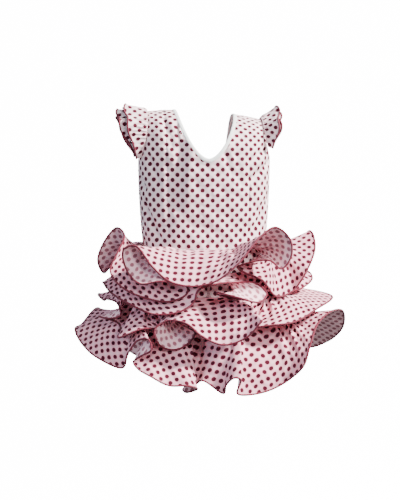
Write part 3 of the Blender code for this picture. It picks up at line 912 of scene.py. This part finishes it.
def sleeve(name, side, first, hem_x, seam_out, hem_out, waves, height, finishes, thread):
    """A gathered strip that stands out from the armhole. Its hem lies hem_x from the middle plane,
    drawn in to the armhole at the underarm, and waves outwards and sideways in turn. Small uneven
    gathers, a sine of turn whose phase and height wander, run out from the seam and fade by the
    hem."""
    turn = np.linspace(first, 1 - first, SLEEVE_STEPS)
    edge, away = armhole_loop(turn, side)
    fullness = 1 - np.abs((2 * turn - 1) / (1 - 2 * first)) ** SLEEVE_FULLNESS
    start = np.abs(edge[:, 0]) + SLEEVE_FROM_PANEL
    reach = SLEEVE_LEAST_LENGTH + (hem_x - start - SLEEVE_LEAST_LENGTH) * fullness
    spread = (hem_out - seam_out) * (SLEEVE_LEAST_SPREAD + (1 - SLEEVE_LEAST_SPREAD) * fullness)
    billow = height * np.sin(2 * np.pi * waves * turn) * fullness
    scallop = SCALLOP_SHARE * height * np.cos(2 * np.pi * waves * turn) * fullness
    phase = 2 * np.pi * GATHERS * turn + 2.2 * np.sin(17 * turn + hem_x) + 1.4 * np.sin(31 * turn)
    gather = GATHER_HEIGHT * np.sin(phase) * (0.65 + 0.35 * np.sin(23 * turn + 2)) * fullness
    rows = []
    for share in np.linspace(0, 1, SLEEVE_ROWS):
        fade = min(share / GATHERS_FULL_AT, 1.0) * (1 - share) ** 1.2
        out = seam_out + spread * share + billow * share + gather * fade
        row = edge + away * out[:, None]
        row[:, 0] = side * (start + (reach + scallop * share) * share)
        rows.append(row)
    grid = np.stack(rows, 1)[::-side]
    normal = grid_normals(grid, False)
    uv = np.stack(np.broadcast_arrays(lengths(grid[:, -1])[:, None], lengths(grid, 1)), -1)
    cloth = grid_shell("cloth_" + name, grid, normal, uv, False, finishes)
    hem = hem_cord(name, grid[:, -1], normal[:, -1], False, thread)
    return cloth, hem


# Skirt


def base_half_sizes(z):
    """Half width and half depth of the base skirt, which widens evenly below the waist seam."""
    flare = BASE_FLARE * (WAIST_Z - z) / (WAIST_Z - BASE_FLARE_Z)
    return WAIST_HALF_WIDTH + flare, BODY_HALF_DEPTH + flare


def skirt_base(finishes):
    """The plain flared underskirt that the flounces are sewn to."""
    angle = np.linspace(0, 360, BASE_COLUMNS, endpoint=False)[:, None]
    z = np.linspace(BASE_HEM_Z, WAIST_Z, BASE_ROWS)[None, :]
    half_width, half_depth = base_half_sizes(z)
    x, y = superellipse(angle, half_width - CLOTH / 2, half_depth - CLOTH / 2)
    grid = np.stack([x, y, np.broadcast_to(z, x.shape)], -1)
    uv = np.stack([np.broadcast_to(arc_to(angle - 180), x.shape), grid[..., 2]], -1)
    return grid_shell("cloth_skirt_base", grid, grid_normals(grid, True), uv, True, finishes)


def closed_curve(knots, values, at, period):
    """A smooth closed curve through values at increasing knots. Each stretch is a cubic, and its
    slope at a knot is a mean of the slopes on either side, weighted to the shorter side."""
    gap = np.diff(np.append(knots, knots[0] + period))[:, None]
    slope = (np.roll(values, -1, axis=0) - values) / gap
    before = np.roll(gap, 1, axis=0)
    tangent = (np.roll(slope, 1, axis=0) * gap + slope * before) / (gap + before)
    place = np.searchsorted(knots, at, side="right") - 1
    after = (place + 1) % len(knots)
    width = gap[place]
    t = (at - knots[place])[:, None] / width
    start = values[place] * (1 + 2 * t) * (1 - t) ** 2 + tangent[place] * width * t * (1 - t) ** 2
    end = values[after] * (3 - 2 * t) * t**2 + tangent[after] * width * t**2 * (t - 1)
    return start + end


def plain_flutes(first, last):
    """Even flutes between two seam angles: the hem swings by lead * sin t, and its reach and its drop
    are a mean value and a height times cos t, t turning once a flute."""
    seam = np.linspace(first, last, 4 * FLUTES + 2)[1:-1]
    turn = 2 * np.pi * FLUTES * (seam - first) / (last - first)
    swing = seam + FLUTE_ROW["lead"] * np.sin(turn)
    reach = FLUTE_ROW["reach"][0] + FLUTE_ROW["reach"][1] * np.cos(turn)
    drop = FLUTE_ROW["drop"][0] + FLUTE_ROW["drop"][1] * np.cos(turn)
    return np.stack([seam, swing, reach, drop, np.full_like(seam, FLUTE_ROW["bow"])], -1)


def all_folds(front, turned):
    """The front's folds, then the hidden back's: those whose seam angle lies in turned, half a turn
    on, or plain flutes."""
    rows = np.array(front, float)
    if not turned:
        return np.concatenate([rows, plain_flutes(rows[-1, 0], rows[0, 0] + 360)])
    kept = rows[(rows[:, 0] >= turned[0]) & (rows[:, 0] <= turned[1])]
    return np.concatenate([rows, kept + np.array([180, 180, 0, 0, 0])])


def flounce_sheet(seam_z, turned, front):
    """A flounce's middle surface, hem first along each column. Each column leaves the seam straight
    out, as a plain skirt, and its fold grows with share ** FOLD_GROWTH."""
    seam, swing, reach, drop, bow = all_folds(front, turned).T
    turn = np.radians(swing)
    hem = np.stack([reach * np.sin(turn), -reach * np.cos(turn), seam_z - drop, bow], -1)
    steps = np.sqrt(np.linalg.norm(np.roll(hem, -1, axis=0) - hem, axis=1))
    knots = np.concatenate([[0], np.cumsum(steps)])
    at = np.linspace(0, knots[-1], HEM_STEPS, endpoint=False)
    hem = closed_curve(knots[:-1], hem, at, knots[-1])
    hem, bow = hem[:, :3], hem[:, 3:]
    angle = np.interp(at, knots, np.append(seam, seam[0] + 360))
    half_width, half_depth = base_half_sizes(seam_z)
    x, y = superellipse(angle, half_width + FLOUNCE_OFF_BASE, half_depth + FLOUNCE_OFF_BASE)
    ring = np.stack([x, y, np.full_like(x, seam_z - FLOUNCE_BELOW_SEAM)], -1)
    outward = ring / np.linalg.norm(ring[:, :2], axis=1, keepdims=True) * np.array([1, 1, 0])
    plain = ring + outward * PLAIN_REACH - np.array([0, 0, PLAIN_DROP])
    chord = unit(hem - ring)
    rise = unit(np.array([0.0, 0.0, 1.0]) - chord * chord[:, 2:])
    share = np.linspace(1, 0, DEPTH_STEPS + 1)[:, None, None]
    grown = share**FOLD_GROWTH
    grid = (1 - share) * ring + (share - grown) * plain + grown * hem
    grid = grid + 4 * share * (1 - share) * bow * rise
    return grid.transpose(1, 0, 2)


def annulus_cut(grid):
    """Where each point of a flounce lay in its flat ring of cloth, in mm: its distance from the ring's
    centre is the ring's radius plus its length down the column, and its turn is what the hem's
    length asks for."""
    down = lengths(grid[:, ::-1], 1)[:, ::-1]
    radius = FLAT_RING + down
    hem = np.linalg.norm(np.roll(grid[:, 0], -1, axis=0) - grid[:, 0], axis=1)
    out = np.roll(down[:, 0], -1) - down[:, 0]
    step = np.sqrt(np.maximum(hem**2 - out**2, 0)) / radius[:, 0]
    turn = np.append(0, np.cumsum(step)[:-1])[:, None]
    return np.stack([radius * np.cos(turn), radius * np.sin(turn)], -1)


def ripples(columns, rows):
    """Small uneven radial ripples, in mm: a sine round the flounce whose phase and height wander, and
    a finer one over it, which slants across the first. They rise just off the seam and fade towards
    the hem."""
    turn = np.linspace(0, 2 * np.pi, columns, endpoint=False)[:, None]
    share = np.linspace(1, 0, rows)[None, :]
    phase = RIPPLES * turn + 2.6 * np.sin(5 * turn) + 1.7 * np.sin(11 * turn + 1)
    height = RIPPLE_HEIGHT * (0.55 + 0.45 * np.sin(7 * turn + 2))
    fine = np.sin(2.3 * phase + 4 * share + 3 * np.sin(4 * turn))
    folds = np.sin(phase) + FINE_RIPPLE_SHARE * fine
    return height * folds * np.sin(np.pi * share**0.8) ** 1.5 * (1.15 - share)


def flounce(name, sizes, finishes, thread):
    grid = flounce_sheet(**sizes)
    grid = grid + grid_normals(grid, True) * ripples(*grid.shape[:2])[..., None]
    normal = grid_normals(grid, True)
    uv = annulus_cut(grid)
    cloth = grid_shell("cloth_" + name, grid, normal, uv, True, finishes)
    hem = hem_cord(name, grid[:, 0], normal[:, 0], True, thread)
    return cloth, hem


# Buttons


def button(name, z, finish):
    """A dished button with four holes, turned as a profile of radius and height, and pressed in at
    each hole. The face is its first 26 rings: it rises to a rounded lip at 0.86 of the radius."""
    face = np.linspace(0.02, 0.99, 26)
    lip = 1.15 - 0.6 * np.clip(np.abs(face - 0.86) / 0.14, 0, 1) ** 2
    radius = np.concatenate([face, [1.0, 0.99], np.linspace(0.9, 0.02, 6)])
    underside = np.full(6, -BUTTON_HALF_THICKNESS)
    height = np.concatenate([np.maximum(lip, 0.85), [0.3, -0.6], underside])
    turn = np.linspace(0, 2 * math.pi, 48, endpoint=False)
    x = BUTTON_RADIUS * radius[:, None] * np.cos(turn)
    y = BUTTON_RADIUS * radius[:, None] * np.sin(turn)
    depth = np.broadcast_to(height[:, None], x.shape).copy()
    for hole in (45, 135, 225, 315):
        across = x - BUTTON_HOLE_OUT * math.cos(math.radians(hole))
        upward = y - BUTTON_HOLE_OUT * math.sin(math.radians(hole))
        press = np.exp(-((across**2 + upward**2) / BUTTON_HOLE_SQUARE) ** 2) * BUTTON_HOLE_DEPTH
        depth[: len(face)] -= press[: len(face)]
    stand = BODY_HALF_DEPTH + SEAM_GAP + BUTTON_HALF_THICKNESS
    points = np.stack([-BUTTON_FROM_EDGE - x, stand + depth, z + y], -1)
    return tube("sewn_" + name, points, np.stack([x, y], -1), False, 1, finish)


# Studio


def white_paper():
    """Paper that is lit from behind where it rises behind the dress, and plain in front of it."""
    constants = {"Base Color": (0.9, 0.9, 0.9, 1), "Roughness": 0.9, "Emission Strength": PAPER_GLOW}
    finish = Finish("White paper", constants)
    place = finish.node("ShaderNodeTexCoord", output="Object")
    glow = finish.ramp(finish.parts(place)[1], *PAPER_GLOW_Y, "SMOOTHSTEP")
    finish.put(finish.shader.inputs["Emission Color"], finish.mix(glow, (0, 0, 0, 1), (1, 1, 1, 1)))
    return finish.material


def paper_sweep():
    """Paper under the dress, which bends up behind it on a quarter circle and then stands. Only the
    camera sees it: it throws no light on the cloth."""
    flat = np.linspace(PAPER_FRONT_Y, PAPER_BEND_Y, 20)
    bend = np.linspace(0, math.pi / 2, 24)
    y = np.concatenate([flat, PAPER_BEND_Y + PAPER_BEND * np.sin(bend), [PAPER_BEND_Y + PAPER_BEND]])
    rise = PAPER_FLOOR + PAPER_BEND * (1 - np.cos(bend))
    z = np.concatenate([np.full_like(flat, PAPER_FLOOR), rise, [PAPER_TOP]])
    ends = (-PAPER_HALF_WIDTH, PAPER_HALF_WIDTH)
    points = np.concatenate([np.stack([np.full_like(y, x), y, z], -1) for x in ends])
    groups = [(grid_faces(2, len(y), False), 0)]
    sweep = put_mesh("white_sweep", points / MM, groups, points[:, :2], [white_paper()])
    sweep.visible_diffuse = False
    sweep.visible_glossy = False


def studio():
    """The paper, a faintly lit room, and soft square lights turned to the dress."""
    paper_sweep()
    world = bpy.data.worlds.new("Soft room")
    world.use_nodes = True
    background = world.node_tree.nodes["Background"]
    background.inputs["Color"].default_value = (1.0, 1.0, 1.0, 1.0)
    background.inputs["Strength"].default_value = ROOM_LIGHT
    bpy.context.scene.world = world
    for name, place, size, power, tint in LIGHTS:
        light = bpy.data.lights.new(name, "AREA")
        light.energy = power
        light.size = size
        light.color = tint
        lamp = bpy.data.objects.new(name, light)
        lamp.location = place
        aim = np.array(LIGHTS_AIM) - np.array(place)
        tilt = math.atan2(math.hypot(aim[0], aim[1]), -aim[2])
        lamp.rotation_euler = (tilt, 0, math.atan2(aim[1], aim[0]) - math.pi / 2)
        bpy.context.collection.objects.link(lamp)


def camera():
    """The photograph's view: 7 degrees round to the left and 8 degrees up. The lens is the one that
    makes a pixel MM_A_PIXEL wide at the dress."""
    azimuth, elevation = math.radians(CAMERA_AZIMUTH), math.radians(CAMERA_ELEVATION)
    flat = CAMERA_DISTANCE * math.cos(elevation)
    up = CAMERA_AIM_Z + CAMERA_DISTANCE * math.sin(elevation)
    view = bpy.data.objects.new("Camera", bpy.data.cameras.new("Camera"))
    view.data.sensor_fit = "VERTICAL"
    view.data.sensor_height = SENSOR
    view.data.lens = SENSOR * CAMERA_DISTANCE / MM / (MM_A_PIXEL * PHOTO_HEIGHT)
    view.data.shift_x = CAMERA_SHIFT
    view.location = (flat * math.sin(azimuth), -flat * math.cos(azimuth), up)
    view.rotation_euler = (math.pi / 2 - elevation, 0, azimuth)
    bpy.context.collection.objects.link(view)
    bpy.context.scene.camera = view


def dress():
    """The whole dress, each piece with the CAD nodes it replaces and, for a sheet, its cut."""
    # Screen colours: a cloth's two shades and its bled rings', and an ink's two shades.
    ground = ((233, 210, 212), (244, 227, 228), (234, 146, 162))
    # The flounces are the bodice's cloth, but their ground is darker and pinker: painted shade, with
    # painted pink light bounced between the red-dotted flounces.
    flounce_pink_shade = ((226, 164, 177), (234, 184, 195), (222, 98, 124))
    # The flounces' wrong side is lighter and paler than their right side: painted light that comes through
    # the thin cloth.
    wrong = ((250, 200, 210), (254, 214, 222), (244, 156, 172))
    dot = ((56, 0, 18), (78, 0, 30))
    # Ink on a wrong side is paler: the print showing through the cloth, made lighter still as painted
    # light through it.
    faded = ((116, 46, 64), (136, 64, 82))
    bodice = [
        printed_cotton("Dotted cotton", 45, BODICE_DOT, ground, dot, depth=1.0),
        printed_cotton("Dotted cotton, wrong side", 45, BODICE_DOT, ground, faded, depth=0.7),
    ]
    skirt = [
        printed_cotton("Dotted flounce cotton", 0, (0, 0), flounce_pink_shade, dot, depth=1.0),
        printed_cotton("Dotted flounce cotton, wrong side", 0, (0, 0), wrong, faded, depth=0.8),
    ]
    thread = overlock_thread("Red overlock thread", (80, 0, 26), (128, 0, 46))
    binding = white_binding()
    plastic = glossy_button()

    def dress_up(piece, slot, *nodes):
        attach(piece, "root")
        if nodes:
            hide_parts(*nodes)

    front = front_center(bodice)
    dress_up(front, "bodice_cotton", "front_center")
    for word, side in (("left", -1), ("right", 1)):
        piece = front_side(word, side, bodice)
        dress_up(piece, "bodice_cotton", f"front_side_{word}")
        piece = back(word, side, bodice)
        dress_up(piece, "bodice_cotton", f"back_{word}")
    dress_up(neck_binding(binding), "binding", "neck_binding")
    for name, row in SLEEVES.items():
        cloth, hem = sleeve(name, *row, bodice, thread)
        dress_up(hem, "bodice_cotton")
        dress_up(cloth, "bodice_cotton", name)
    base = skirt_base(bodice)
    dress_up(base, "flounce_cotton", "skirt_base")
    for name, sizes in FLOUNCES.items():
        cloth, hem = flounce(name, sizes, skirt, thread)
        dress_up(hem, "flounce_cotton")
        dress_up(cloth, "flounce_cotton", name)
    for number, z in enumerate(BUTTON_Z, 1):
        dress_up(button(f"button_{number}", z, plastic), "button", f"button_{number}")


dress()
studio()
camera()
